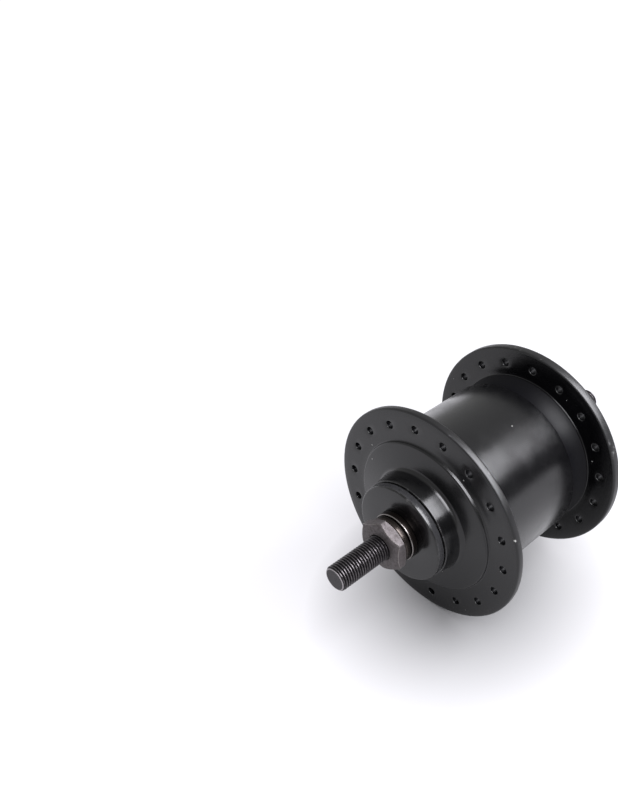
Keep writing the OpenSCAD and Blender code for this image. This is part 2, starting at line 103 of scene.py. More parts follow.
GROOVE_Y = (SPIGOT_IN_Y + BARREL_END_Y) / 2

SPOKES = 18
SPOKE_CIRCLE_R = FLANGE_R - 6
SPOKE_HOLE_R = 1.45
SPOKE_HOLE_ROUND = 0.28
LEFT_SPOKE_DEG = 18.7
RIGHT_SPOKE_DEG = LEFT_SPOKE_DEG + 180 / SPOKES
SPOKE_BAND_HALF_W = 3.2
FACE_IN_R = SPOKE_CIRCLE_R - SPOKE_BAND_HALF_W
FACE_OUT_R = SPOKE_CIRCLE_R + SPOKE_BAND_HALF_W

DUST_CAP_ROUND = 0.6
DUST_CAP_RECESS_R = 9.35
DUST_CAP_RECESS_DEPTH = 0.6
COLLAR_ROUND = 0.3
COLLAR_NECK_R = SPACER_R - 1.5
COLLAR_NECK_LEN = 0.6

CONNECTOR_HALF_W = 7.0
CONNECTOR_FROM_X = 11.5
CONNECTOR_WALL = 1.2
CONNECTOR_ROUND = 0.9
SOCKET_ROUND = 0.4
SOCKET_DEPTH = 8.0
GRIP_RIBS = 4
GRIP_RIB_X = -22.6
GRIP_RIB_STEP = 1.8
GRIP_RIB_HALF_W = CONNECTOR_HALF_W - 1.2
GRIP_RIB_HEIGHT = 0.25
TAB_HALF_W = 2.0
TAB_ROUND = 0.12
TAB_OVERLAP = 1.5

NUT_FLATS = 17.0
NUT_FACE_R = NUT_FLATS / 2 - 0.3
NUT_CORNER_CUT = 0.12
NUT_CHAMFER_DEG = 30
NUT_BORE_CHAMFER = 0.35
NUT_EDGE = 0.1
LEFT_NUT_DEG = 33
RIGHT_NUT_DEG = 10
THREAD_START_Y = NUT_IN_Y + 0.5
THREAD_PITCH = 1.0
THREAD_DEPTH = 0.5
THREAD_POINTS_AROUND = 65
THREAD_POINTS_ALONG = 300
CREST_SHARE = 0.16
ROOT_SHARE = 0.9
TIP_DEPTH = 0.65
TIP_LEN = 0.6
LEAD_SLOT_SPARE = 0.2

LATHE_STEPS = 180
AXLE_STEPS = 60
FILLET_STEPS = 4
CORNER_STEPS = 5
SHARP_DEG = 35
SEAM = 0.002
THREAD_SEAM = 0.001
SHORTEST_EDGE = 0.0005


# ---------------------------------------------------------------- outlines of (radius, y)

def arc(centre, radius, start_deg, end_deg, steps):
    """Points of an arc round a centre."""
    points = []
    for i in range(steps + 1):
        a = math.radians(start_deg + (end_deg - start_deg) * i / steps)
        points.append((centre[0] + radius * math.cos(a), centre[1] + radius * math.sin(a)))
    return points


def rounded(corners):
    """A closed outline whose corners (r, y, fillet) turn on arcs of their fillet radius."""
    points = []
    for i, (r, y, fillet) in enumerate(corners):
        here = Vector((r, y))
        if fillet <= 0:
            points.append((r, y))
            continue
        before = (Vector(corners[i - 1][:2]) - here).normalized()
        after = (Vector(corners[(i + 1) % len(corners)][:2]) - here).normalized()
        half = before.angle(after) / 2
        centre = here + (before + after).normalized() * (fillet / math.sin(half))
        start = here + before * (fillet / math.tan(half)) - centre
        end = here + after * (fillet / math.tan(half)) - centre
        turn = start.angle_signed(end)
        first = math.atan2(start.y, start.x)
        for k in range(FILLET_STEPS + 1):
            a = first - turn * k / FILLET_STEPS
            points.append((centre.x + fillet * math.cos(a), centre.y + fillet * math.sin(a)))
    return points


# ---------------------------------------------------------------- plain meshes

def linked(name, bm, materials):
    """Turns a bmesh in mm into an object at the origin, its doubles joined and its faces outwards."""
    bmesh.ops.remove_doubles(bm, verts=bm.verts, dist=SEAM)
    bmesh.ops.dissolve_degenerate(bm, edges=bm.edges, dist=SHORTEST_EDGE)
    bmesh.ops.recalc_face_normals(bm, faces=bm.faces)
    bmesh.ops.scale(bm, verts=bm.verts, vec=(MM, MM, MM))
    mesh = bpy.data.meshes.new(name)
    bm.to_mesh(mesh)
    bm.free()
    for material in materials:
        mesh.materials.append(material)
    obj = bpy.data.objects.new(name, mesh)
    bpy.context.scene.collection.objects.link(obj)
    return obj


def softened(obj):
    """Smooth shading that breaks only at real edges."""
    for face in obj.data.polygons:
        face.use_smooth = True
    obj.data.set_sharp_from_angle(angle=math.radians(SHARP_DEG))
    return obj


def bridge(bm, row_a, row_b, slot=0, closed=True):
    """Quads between two rows of vertices."""
    count = len(row_a) if closed else len(row_a) - 1
    for k in range(count):
        k2 = (k + 1) % len(row_a)
        bm.faces.new((row_a[k], row_a[k2], row_b[k2], row_b[k])).material_index = slot


def lathe(name, outline, side, materials, first_deg=0, slot_of=None):
    """A solid turned about the axle; outline is a list of (r, y), or gives one for each angle."""
    bm = bmesh.new()
    profiles = []
    for k in range(LATHE_STEPS):
        turn = 2 * math.pi * k / LATHE_STEPS
        a = turn + math.radians(first_deg)
        points = outline(turn) if callable(outline) else outline
        profiles.append([bm.verts.new((r * math.cos(a), side * y, r * math.sin(a))) for r, y in points])
    base = outline(0) if callable(outline) else outline
    for j in range(len(base)):
        j2 = (j + 1) % len(base)
        slot = slot_of(base[j], base[j2]) if slot_of else 0
        bridge(bm, [p[j] for p in profiles], [p[j2] for p in profiles], slot)
    return softened(linked(name, bm, materials))


def loft(name, rings, material):
    """A solid through rings of equally many points, closed at both ends."""
    bm = bmesh.new()
    rows = [[bm.verts.new(p) for p in ring] for ring in rings]
    for row, next_row in zip(rows, rows[1:]):
        bridge(bm, row, next_row)
    bm.faces.new(rows[0])
    bm.faces.new(rows[-1])
    return softened(linked(name, bm, [material]))


def join(name, objects):
    """One object out of several."""
    with bpy.context.temp_override(active_object=objects[0], selected_editable_objects=objects):
        bpy.ops.object.join()
    objects[0].name = name
    objects[0].data.name = name
    return objects[0]


# ---------------------------------------------------------------- geometry node trees

def node_tree(name, inputs):
    """A geometry tree with named inputs after its geometry."""
    tree = bpy.data.node_groups.new(name, "GeometryNodeTree")
    tree.interface.new_socket("Geometry", in_out="INPUT", socket_type="NodeSocketGeometry")
    for label, kind in inputs:
        tree.interface.new_socket(label, in_out="INPUT", socket_type=kind)
    tree.interface.new_socket("Geometry", in_out="OUTPUT", socket_type="NodeSocketGeometry")
    return tree, tree.nodes.new("NodeGroupInput").outputs, tree.nodes.new("NodeGroupOutput").inputs


def maths(tree, operation, a, b=None):
    """A math node on numbers or sockets."""
    node = tree.nodes.new("ShaderNodeMath")
    node.operation = operation
    for index, value in enumerate((a, b)):
        if isinstance(value, (int, float)):
            node.inputs[index].default_value = value
        elif value is not None:
            tree.links.new(value, node.inputs[index])
    return node.outputs[0]


def placed(tree, kind, **links):
    """A node of a kind, with some of its inputs linked or set."""
    node = tree.nodes.new(kind)
    for label, value in links.items():
        socket = node.inputs[label.replace("_", " ")]
        if isinstance(value, bpy.types.NodeSocket):
            tree.links.new(value, socket)
        else:
            socket.default_value = value
    return node


def round_the_axle_tree():
    """Repeats one sector of a flanged casting round the axle and closes its seams."""
    tree, given, result = node_tree("round_the_axle", [
        ("Sectors", "NodeSocketInt"), ("First Angle", "NodeSocketFloat"), ("Seam", "NodeSocketFloat"),
    ] + [(label, "NodeSocketMaterial") for label in CASTING_FINISHES])
    line = placed(tree, "GeometryNodeMeshLine", Count=given["Sectors"], Offset=(0, 0, 0))
    index = tree.nodes.new("GeometryNodeInputIndex").outputs[0]
    step = maths(tree, "DIVIDE", 2 * math.pi, given["Sectors"])
    angle = maths(tree, "ADD", maths(tree, "MULTIPLY", index, step), given["First Angle"])
    spin = placed(tree, "ShaderNodeCombineXYZ", Y=maths(tree, "MULTIPLY", angle, -1.0))
    copies = placed(tree, "GeometryNodeInstanceOnPoints", Points=line.outputs["Mesh"],
                    Instance=given["Geometry"], Rotation=spin.outputs[0])
    real = placed(tree, "GeometryNodeRealizeInstances", Geometry=copies.outputs[0])
    merged = placed(tree, "GeometryNodeMergeByDistance", Geometry=real.outputs[0], Distance=given["Seam"])
    slot = tree.nodes.new("GeometryNodeInputMaterialIndex").outputs[0]
    coated = merged
    for number, label in enumerate(CASTING_FINISHES):
        coated = placed(tree, "GeometryNodeSetMaterial", Geometry=coated.outputs[0],
                        Selection=maths(tree, "COMPARE", slot, number), Material=given[label])
    tree.links.new(coated.outputs[0], result[0])
    return tree


def in_a_row_tree():
    """Repeats a piece at even steps along x."""
    tree, given, result = node_tree("in_a_row", [
        ("Count", "NodeSocketInt"), ("Step", "NodeSocketFloat"), ("Finish", "NodeSocketMaterial"),
    ])
    step = placed(tree, "ShaderNodeCombineXYZ", X=given["Step"])
    line = placed(tree, "GeometryNodeMeshLine", Count=given["Count"], Offset=step.outputs[0])
    copies = placed(tree, "GeometryNodeInstanceOnPoints", Points=line.outputs["Mesh"],
                    Instance=given["Geometry"])
    real = placed(tree, "GeometryNodeRealizeInstances", Geometry=copies.outputs[0])
    coated = placed(tree, "GeometryNodeSetMaterial", Geometry=real.outputs[0], Material=given["Finish"])
    tree.links.new(coated.outputs[0], result[0])
    return tree


def rolled_thread_tree():
    """Rolls a grid into a rod with a helical thread that runs out on a chamfered tip."""
    tree, given, result = node_tree("rolled_thread", [
        ("Start", "NodeSocketFloat"), ("Length", "NodeSocketFloat"), ("Radius", "NodeSocketFloat"),
        ("Pitch", "NodeSocketFloat"), ("Depth", "NodeSocketFloat"), ("Tip Depth", "NodeSocketFloat"),
        ("Tip Slope", "NodeSocketFloat"), ("Side", "NodeSocketFloat"), ("Seam", "NodeSocketFloat"),
        ("Around", "NodeSocketInt"), ("Along", "NodeSocketInt"), ("Finish", "NodeSocketMaterial"),
    ])
    grid = placed(tree, "GeometryNodeMeshGrid", Size_X=1.0, Size_Y=1.0,
                  Vertices_X=given["Around"], Vertices_Y=given["Along"])
    here = tree.nodes.new("GeometryNodeInputPosition").outputs[0]
    spot = placed(tree, "ShaderNodeSeparateXYZ", Vector=here).outputs
    turn = maths(tree, "ADD", spot["X"], 0.5)
    along = maths(tree, "MULTIPLY", maths(tree, "ADD", spot["Y"], 0.5), given["Length"])
    phase = maths(tree, "ADD", maths(tree, "DIVIDE", along, given["Pitch"]), turn)
    saw = maths(tree, "SUBTRACT", phase, maths(tree, "ROUND", phase))
    valley = maths(tree, "MULTIPLY", maths(tree, "ABSOLUTE", saw), 2.0)
    flank = placed(tree, "ShaderNodeMapRange", Value=valley, From_Min=CREST_SHARE, From_Max=ROOT_SHARE)
    cut = maths(tree, "MULTIPLY", flank.outputs[0], given["Depth"])
    crest = maths(tree, "SUBTRACT", given["Radius"], cut)
    tip = maths(tree, "MULTIPLY", maths(tree, "SUBTRACT", given["Length"], along), given["Tip Slope"])
    tip = maths(tree, "ADD", tip, maths(tree, "SUBTRACT", given["Radius"], given["Tip Depth"]))
    radius = maths(tree, "MINIMUM", crest, tip)
    angle = maths(tree, "MULTIPLY", turn, 2 * math.pi)
    out_y = maths(tree, "MULTIPLY", maths(tree, "ADD", along, given["Start"]), given["Side"])
    rolled = placed(tree, "ShaderNodeCombineXYZ", Y=out_y,
                    X=maths(tree, "MULTIPLY", radius, maths(tree, "COSINE", angle)),
                    Z=maths(tree, "MULTIPLY", radius, maths(tree, "SINE", angle)))
    moved = placed(tree, "GeometryNodeSetPosition", Geometry=grid.outputs["Mesh"], Position=rolled.outputs[0])
    merged = placed(tree, "GeometryNodeMergeByDistance", Geometry=moved.outputs[0], Distance=given["Seam"])
    real = placed(tree, "GeometryNodeRealizeInstances", Geometry=merged.outputs[0])
    coated = placed(tree, "GeometryNodeSetMaterial", Geometry=real.outputs[0], Material=given["Finish"])
    tree.links.new(coated.outputs[0], result[0])
    return tree


def grown(obj, tree, values):
    """Replaces obj's mesh by the plain mesh that a tree makes of it, closed and facing outwards."""
    modifier = obj.modifiers.new(tree.name, "NODES")
    modifier.node_group = tree
    for item in tree.interface.items_tree:
        if item.in_out == "INPUT" and item.name in values:
            modifier[item.identifier] = values[item.name]
    bpy.context.view_layer.update()
    shape = obj.evaluated_get(bpy.context.evaluated_depsgraph_get())
    mesh = bpy.data.meshes.new_from_object(shape)
    obj.modifiers.clear()
    obj.data = mesh
    mesh.name = obj.name
    bm = bmesh.new()
    bm.from_mesh(mesh)
    bmesh.ops.holes_fill(bm, edges=[e for e in bm.edges if e.is_boundary], sides=0)
    bmesh.ops.recalc_face_normals(bm, faces=bm.faces)
    bm.to_mesh(mesh)
    bm.free()
    return softened(obj)


# ---------------------------------------------------------------- finishes

MIX_A, MIX_B, MIX_RESULT = 6, 7, 2
RING_BREAKS = 0.5
CHIP_DEG = 21
CHIP_R = FLANGE_R - 0.2
CHIP_SIZE = 1.1
DULL_THREAD_LEN = 7
WIRE_STEP = 0.55


class Finish:
    """A node material on Object coordinates, with short calls for what the finishes share."""

    def __init__(self, name, colour, roughness, metallic=0.0, **sockets):
        self.material = bpy.data.materials.new(name)
        self.material.use_nodes = True
        self.material.diffuse_color = (*colour, 1)
        self.tree = self.material.node_tree
        self.shader = self.tree.nodes["Principled BSDF"]
        self.shader.inputs["Base Color"].default_value = (*colour, 1)
        self.shader.inputs["Roughness"].default_value = roughness
        self.shader.inputs["Metallic"].default_value = metallic
        for label, value in sockets.items():
            self.shader.inputs[label.replace("_", " ")].default_value = value
        self.place = self.tree.nodes.new("ShaderNodeTexCoord").outputs["Object"]

    @cached_property
    def axes(self):
        """x, y and z of a spot, in metres."""
        return placed(self.tree, "ShaderNodeSeparateXYZ", Vector=self.place).outputs

    @cached_property
    def radius(self):
        """A spot's distance from the middle of the axle, in mm."""
        x, z = self.axes["X"], self.axes["Z"]
        squares = self.maths("ADD", self.maths("MULTIPLY", x, x), self.maths("MULTIPLY", z, z))
        return self.maths("MULTIPLY", self.maths("SQRT", squares), 1 / MM)

    @cached_property
    def y(self):
        """A spot's place along the axle, in mm."""
        return self.maths("MULTIPLY", self.axes["Y"], 1 / MM)

    def maths(self, operation, a, b=None):
        """A math node in this material."""
        return maths(self.tree, operation, a, b)

    def noise(self, per_mm, detail=2.0, roughness=0.5):
        """Noise with per_mm features to the millimetre."""
        node = placed(self.tree, "ShaderNodeTexNoise", Vector=self.place,
                      Scale=per_mm / MM, Detail=detail, Roughness=roughness)
        return node.outputs["Fac"]

    def turned(self, per_mm):
        """Noise drawn out into rings round the axle, as turning leaves it."""
        angle = self.maths("ARCTAN2", self.axes["Z"], self.axes["X"])
        ring = placed(self.tree, "ShaderNodeCombineXYZ", X=self.radius, Y=self.y,
                      Z=self.maths("MULTIPLY", self.maths("COSINE", angle), RING_BREAKS))
        node = placed(self.tree, "ShaderNodeTexNoise", Vector=ring.outputs[0], Scale=per_mm,
                      Detail=3.0, Roughness=0.6)
        return node.outputs["Fac"]

    def flecks(self, cell, share, size):
        """Dots of a size in mm, in a share of cells that are cell mm wide."""
        node = placed(self.tree, "ShaderNodeTexVoronoi", Vector=self.place, Scale=1 / (cell * MM))
        near = self.ramp(node.outputs["Distance"], size / cell, 0.6 * size / cell)
        lot = placed(self.tree, "ShaderNodeSeparateColor", Color=node.outputs["Color"]).outputs["Red"]
        return self.maths("MULTIPLY", near, self.maths("LESS_THAN", lot, share))

    def dot(self, centre, size):
        """One dot with a ragged edge; its centre is in metres and its size in mm."""
        node = self.tree.nodes.new("ShaderNodeVectorMath")
        node.operation = "DISTANCE"
        self.tree.links.new(self.place, node.inputs[0])
        node.inputs[1].default_value = centre
        ragged = self.maths("ADD", node.outputs["Value"], self.maths("MULTIPLY", self.noise(1.5), size * MM))
        return self.ramp(ragged, size * MM, 0.7 * size * MM)

    def ramp(self, factor, low, high, low_value=0.0, high_value=1.0):
        """Maps low..high of a factor onto two values, held at both ends."""
        node = placed(self.tree, "ShaderNodeMapRange", Value=factor, From_Min=low, From_Max=high,
                      To_Min=low_value, To_Max=high_value)
        return node.outputs[0]

    def blend(self, factor, a, b):
        """A mix of two colours, each three numbers or a socket."""
        node = self.tree.nodes.new("ShaderNodeMix")
        node.data_type = "RGBA"
        self.tree.links.new(factor, node.inputs["Factor"])
        for socket, value in ((node.inputs[MIX_A], a), (node.inputs[MIX_B], b)):
            if isinstance(value, tuple):
                socket.default_value = (*value, 1)
            else:
                self.tree.links.new(value, socket)
        return node.outputs[MIX_RESULT]

    def surface(self, colour, roughness, *bumps):
        """Links colour, roughness and bump layers of (height, strength, distance in mm)."""
        self.tree.links.new(colour, self.shader.inputs["Base Color"])
        self.tree.links.new(roughness, self.shader.inputs["Roughness"])
        last = None
        for height, strength, distance in bumps:
            node = placed(self.tree, "ShaderNodeBump", Height=height, Strength=strength,
                          Distance=distance * MM)
            if last is not None:
                self.tree.links.new(last, node.inputs["Normal"])
            last = node.outputs[0]
        if last is not None:
            self.tree.links.new(last, self.shader.inputs["Normal"])
        return self.material


def black_gloss(name, base_low, base_high, roughness, gloss=0.41):
    """Black lacquer and its colour: very dark, shiny, and a little cloudy."""
    f = Finish(name, base_high, roughness, Specular_IOR_Level=gloss)
    return f, f.blend(f.noise(0.05, 3), base_low, base_high)


def shell_paint():
    """Glossy black paint with a faint orange peel, a few pale specks and a lightly rubbed rim."""
    f, base = black_gloss("shell_paint", (0.0005, 0.0005, 0.0007), (0.0015, 0.0015, 0.0018), 0.22)
    peel = f.noise(0.9, 2)
    grain = f.noise(5, 2)
    haze = f.ramp(f.noise(0.12, 4, 0.65), 0.42, 0.68)
    rim = f.ramp(f.radius, FLANGE_R - 0.3, FLANGE_R - 0.05)
    rubbed = f.maths("MULTIPLY", rim, f.ramp(f.noise(0.25, 4, 0.7), 0.60, 0.75))
    worn = f.blend(rubbed, base, (0.06, 0.06, 0.06))
    chip_a = math.radians(CHIP_DEG)
    chip_place = (CHIP_R * MM * math.cos(chip_a), -HALF_SPAN * MM, CHIP_R * MM * math.sin(chip_a))
    chip = f.dot(chip_place, CHIP_SIZE)
    pale = f.maths("MAXIMUM", f.flecks(5, 0.3, 0.3), chip)
    colour = f.blend(pale, worn, (0.22, 0.22, 0.21))
    tone = f.maths("ADD", haze, f.maths("MULTIPLY", peel, 0.25))
    dull_rim = f.ramp(f.radius, FLANGE_R - 1, FLANGE_R - 0.4, 0, 0.16)
    roughness = f.maths("ADD", f.ramp(tone, 0.05, 1.1, 0.20, 0.27), dull_rim)
    return f.surface(colour, roughness, (haze, 0.10, 0.05), (peel, 0.07, 0.03), (grain, 0.04, 0.008))


def boss_gloss():
    """The turned boss under the same paint, with fine marks that run round it."""
    f, base = black_gloss("boss_gloss", (0.0004, 0.0004, 0.0006), (0.001, 0.001, 0.0013), 0.2, gloss=0.29)
    marks = f.turned(5)
    scuffs = f.noise(0.8, 4, 0.7)
    colour = f.blend(f.ramp(marks, 0.5, 0.8), base, (0.003, 0.003, 0.003))
    tone = f.maths("ADD", marks, f.maths("MULTIPLY", scuffs, 0.5))
    return f.surface(colour, f.ramp(tone, 0.45, 1.0, 0.12, 0.24), (marks, 0.35, 0.03), (scuffs, 0.05, 0.02))


def neck_satin():
    """Duller black of the cast neck between the barrel and the right flange."""
    f = Finish("neck_satin", (0.0012, 0.0012, 0.0018), 0.42, Specular_IOR_Level=0.10)
    grain = f.noise(2.5, 3)
    cloud = f.noise(0.08, 3)
    colour = f.blend(cloud, (0.0008, 0.0008, 0.0012), (0.002, 0.002, 0.0028))
    return f.surface(colour, f.ramp(cloud, 0.3, 0.7, 0.38, 0.48), (grain, 0.06, 0.02))


def edge_wear():
    """Edges where the paint is thin and rubbed to a soft grey shine."""
    f, base = black_gloss("edge_wear", (0.002, 0.002, 0.002), (0.004, 0.004, 0.004), 0.2)
    rub = f.noise(0.5, 4, 0.7)
    colour = f.blend(f.ramp(rub, 0.5, 0.75), base, (0.03, 0.03, 0.03))
    return f.surface(colour, f.ramp(rub, 0.3, 0.8, 0.18, 0.32), (rub, 0.08, 0.02))


def cap_black():
    """Shiny black of the dust caps, with faint turning rings, scuffs on the side, and a painted sheen that
    makes the whole side lighter than the face.
    """
    f, base = black_gloss("cap_black", (0.0005, 0.0005, 0.0007), (0.0012, 0.0012, 0.0015), 0.2)
    rings = f.turned(3.5)
    side = f.ramp(f.radius, DUST_CAP_R - 0.3, DUST_CAP_R - 0.1)
    scuffs = f.maths("MULTIPLY", side, f.ramp(f.noise(1.0, 4, 0.75), 0.54, 0.68))
    # Painted sheen: the side band is lighter than the face all round, and the scuffed patches on it are
    # lighter still.
    colour = f.blend(side, base, f.blend(scuffs, (0.016, 0.016, 0.017), (0.003, 0.003, 0.003)))
    tone = f.maths("ADD", rings, scuffs)
    return f.surface(colour, f.ramp(tone, 0.3, 1.4, 0.16, 0.34), (rings, 0.05, 0.015), (scuffs, 0.4, 0.03))


def thread_steel():
    """Dark oiled steel whose thread crests are rubbed bright."""
    f = Finish("thread_steel", (0.12, 0.11, 0.1), 0.4, metallic=0.9)
    streak = f.noise(0.9, 4, 0.7)
    crest = f.ramp(f.radius, AXLE_R - 0.28, AXLE_R - 0.03)
    from_nut = f.ramp(f.maths("ABSOLUTE", f.y), NUT_OUT_Y, NUT_OUT_Y + DULL_THREAD_LEN, 0.35, 1.0)
    patchy = f.maths("MULTIPLY", f.ramp(streak, 0.36, 0.60, 0.25, 1.0), from_nut)
    rubbed = f.maths("MULTIPLY", crest, patchy)
    ground = f.blend(rubbed, (0.006, 0.005, 0.006), (0.115, 0.106, 0.110))
    end = f.ramp(f.maths("ABSOLUTE", f.y), AXLE_HALF - 0.25, AXLE_HALF - 0.1)
    end_wear = f.maths("MULTIPLY", end, f.ramp(streak, 0.2, 0.7, 0.6, 1.0))
    worn_end = f.blend(end_wear, ground, (0.045, 0.042, 0.045))
    rim = f.maths("MULTIPLY", end, f.ramp(f.radius, AXLE_R - TIP_DEPTH - 0.2, AXLE_R - TIP_DEPTH - 0.05))
    colour = f.blend(rim, worn_end, (0.30, 0.28, 0.29))
    return f.surface(colour, f.ramp(rubbed, 0.0, 1.0, 0.5, 0.28),
                     (streak, 0.12, 0.02), (f.noise(9), 0.08, 0.01))


def steel(name, dark, bright, roughness, rings=0.12, stain=0.5, per_mm=3.0, stain_per_mm=0.35):
    """Turned or rolled metal: rings round the axle under darker stains."""
    f = Finish(name, bright, roughness, metallic=0.92)
    marks = f.turned(per_mm)
    stains = f.maths("MULTIPLY", f.ramp(f.noise(stain_per_mm, 5, 0.7), 0.45, 0.65), stain)
    colour = f.blend(stains, f.blend(marks, dark, bright), dark)
    tone = f.maths("ADD", marks, stains)
    return f.surface(colour, f.ramp(tone, 0.2, 1.5, max(0.05, roughness - 0.07), roughness + 0.14),
                     (marks, rings, 0.02), (f.noise(8), 0.06, 0.01))


def moulded(name, low, high, roughness, per_mm=2.0, bump=0.15):
    """Moulded plastic, rubber or sintered ferrite with a fine grain."""
    f = Finish(name, high, roughness)
    grain = f.noise(per_mm, 3)
    colour = f.blend(f.noise(0.15, 3), low, high)
    return f.surface(colour, f.ramp(grain, 0.3, 0.7, roughness - 0.05, roughness + 0.08), (grain, bump, 0.03))


def wound_copper():
    """Enamelled copper wire in close turns."""
    f = Finish("wound_copper", (0.6, 0.25, 0.09), 0.3, metallic=1.0)
    turns = f.maths("ABSOLUTE", f.maths("SINE", f.maths("MULTIPLY", f.y, math.pi / WIRE_STEP)))
    shade = f.noise(0.5, 3)
    colour = f.blend(shade, (0.42, 0.15, 0.05), (0.72, 0.33, 0.13))
    return f.surface(colour, f.ramp(shade, 0.2, 0.8, 0.22, 0.38), (turns, 0.8, 0.25))


PAINT = shell_paint()
BOSS = boss_gloss()
EDGE = edge_wear()
NECK = neck_satin()
CAP = cap_black()
THREAD = thread_steel()
NUT = steel("burnished_nut", (0.068, 0.060, 0.060), (0.140, 0.128, 0.131), 0.60,
            rings=0.15, stain=0.9, per_mm=1.0, stain_per_mm=0.9)
COLLAR = steel("browned_collar", (0.010, 0.008, 0.007), (0.034, 0.027, 0.024), 0.30)
# Painted highlight: a brighter steel laid on the nuts' corner edges and on the left collar's outer end edge,
# where light catches them.
EDGE_HIGHLIGHT = steel("painted_highlight_edge", (0.08, 0.072, 0.068), (0.34, 0.32, 0.31), 0.22,
               rings=0.1, stain=0.7, per_mm=1.5)
WASHER = steel("browned_washer", (0.022, 0.018, 0.016), (0.075, 0.064, 0.058), 0.26)
RACE = steel("ground_race", (0.35, 0.35, 0.36), (0.60, 0.60, 0.61), 0.16, rings=0.05, stain=0.2, per_mm=5)
BALL = steel("polished_ball", (0.55, 0.55, 0.57), (0.80, 0.80, 0.82), 0.12, rings=0.02, stain=0.1, per_mm=2)
BRASS = steel("cage_brass", (0.35, 0.24, 0.10), (0.70, 0.52, 0.25), 0.30, rings=0.08, stain=0.3, per_mm=2)
CONTACT = steel("contact_brass", (0.50, 0.36, 0.14), (0.85, 0.66, 0.34), 0.22,
                rings=0.05, stain=0.2, per_mm=2)
SOFT_IRON = steel("soft_iron", (0.12, 0.12, 0.125), (0.32, 0.32, 0.33), 0.5,
                  rings=0.12, stain=0.6, per_mm=1.5)
ROLLED_IRON = steel("rolled_iron", (0.08, 0.08, 0.085), (0.24, 0.24, 0.25), 0.45,
                    rings=0.15, stain=0.6, per_mm=2)
ZINC = steel("zinc_washer", (0.38, 0.37, 0.33), (0.66, 0.65, 0.60), 0.32, rings=0.08, stain=0.3, per_mm=2)
FERRITE = moulded("ferrite", (0.05, 0.05, 0.055), (0.09, 0.09, 0.095), 0.62, per_mm=1.2, bump=0.3)
COPPER = wound_copper()
BOBBIN = moulded("nylon_bobbin", (0.68, 0.64, 0.52), (0.80, 0.77, 0.66), 0.45)
TAPE = moulded("polyester_tape", (0.70, 0.50, 0.05), (0.85, 0.65, 0.10), 0.25, per_mm=0.8, bump=0.08)
RUBBER = moulded("seal_rubber", (0.012, 0.012, 0.012), (0.025, 0.025, 0.026), 0.7, per_mm=1.5, bump=0.25)
NYLON = moulded("connector_nylon", (0.006, 0.006, 0.007), (0.013, 0.013, 0.014), 0.42, per_mm=2.5, bump=0.2)
LEAD = moulded("red_lead", (0.30, 0.01, 0.01), (0.42, 0.02, 0.02), 0.35, per_mm=1.0, bump=0.05)

CASTING_FINISHES = {"Paint": PAINT, "Boss Gloss": BOSS, "Edge Wear": EDGE, "Neck Satin": NECK}
CAD_FINISHES = {
    PAINT: ("hub_shell", "right_flange_cap"),
    CAP: ("left_dust_cap", "right_dust_cap"),
    THREAD: ("axle",),
    NUT: ("left_locknut", "right_locknut", "left_stator_nut", "right_stator_nut"),
    COLLAR: ("left_spacer", "right_spacer"),
    WASHER: ("left_lock_washer",),
    RACE: ("left_cone", "right_cone", "left_cup", "right_cup"),
    BALL: ("left_balls", "right_balls"),
    BRASS: ("left_cage", "right_cage"),
    CONTACT: ("contact_live", "contact_earth"),
    SOFT_IRON: ("stator_core", "left_claw", "right_claw"),
    ROLLED_IRON: ("back_iron",),
    ZINC: ("earth_washer",),
    FERRITE: ("magnet_1", "magnet_2", "magnet_3", "magnet_4"),
    COPPER: ("winding",),
    BOBBIN: ("bobbin",),
    TAPE: ("winding_tape",),
    RUBBER: ("cap_o_ring", "left_seal", "right_seal"),
    NYLON: ("connector_housing",),
    LEAD: ("lead_wire",),
}


def finish_cad_nodes():
    """Gives every CAD node its finish."""
    for material, nodes in CAD_FINISHES.items():
        for node in nodes:
            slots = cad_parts[node].data.materials
            slots.clear()
            slots.append(material)


def stand_for(obj, node, body):
    """The finished piece shows in place of its CAD node."""
    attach(obj, body)
    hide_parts(node)


# ---------------------------------------------------------------- the two castings

ARC_STEPS = 16
SIDE_STEPS = 6
MOUTH_STEPS = 4
FLARE_STEPS = 14
PAINT_SLOT, BOSS_SLOT, EDGE_SLOT, NECK_SLOT = range(4)


def end_corners():
    """Corners from the flange's face over the plateau and boss to the web's bore."""
    return [
        (FLANGE_R, HALF_SPAN, RIM_ROUND), (FACE_OUT_R, HALF_SPAN, 0), (FACE_IN_R, HALF_SPAN, 0),
        (PLATEAU_FOOT_R, HALF_SPAN, 0.5), (PLATEAU_TOP_R, PLATEAU_Y, 0.8),
        (BOSS_ROOT_R, BOSS_ROOT_Y, 1.8), (BOSS_R, BOSS_END_Y, BOSS_EDGE_ROUND),
        (CUP_SEAT_R, BOSS_END_Y, 0.2), (CUP_SEAT_R, CUP_IN_Y, 0), (WEB_BORE_R, CUP_IN_Y, 0.3),
    ]


def shell_corners():
    """Section of the left casting: barrel, flange, plateau and boss."""
    inner_y = HALF_SPAN - LEFT_FLANGE_T
    return [
        (WEB_BORE_R, INNER_WALL_Y, 0.3), (BARREL_BORE_R, INNER_WALL_Y, 0),
        (BARREL_BORE_R, -BARREL_END_Y, 0.2), (BARREL_R, -BARREL_END_Y, 0.35),
        (BARREL_R, inner_y, 0.6), (FACE_IN_R, inner_y, 0), (FACE_OUT_R, inner_y, 0),
        (FLANGE_R, inner_y, RIM_ROUND),
    ] + end_corners()


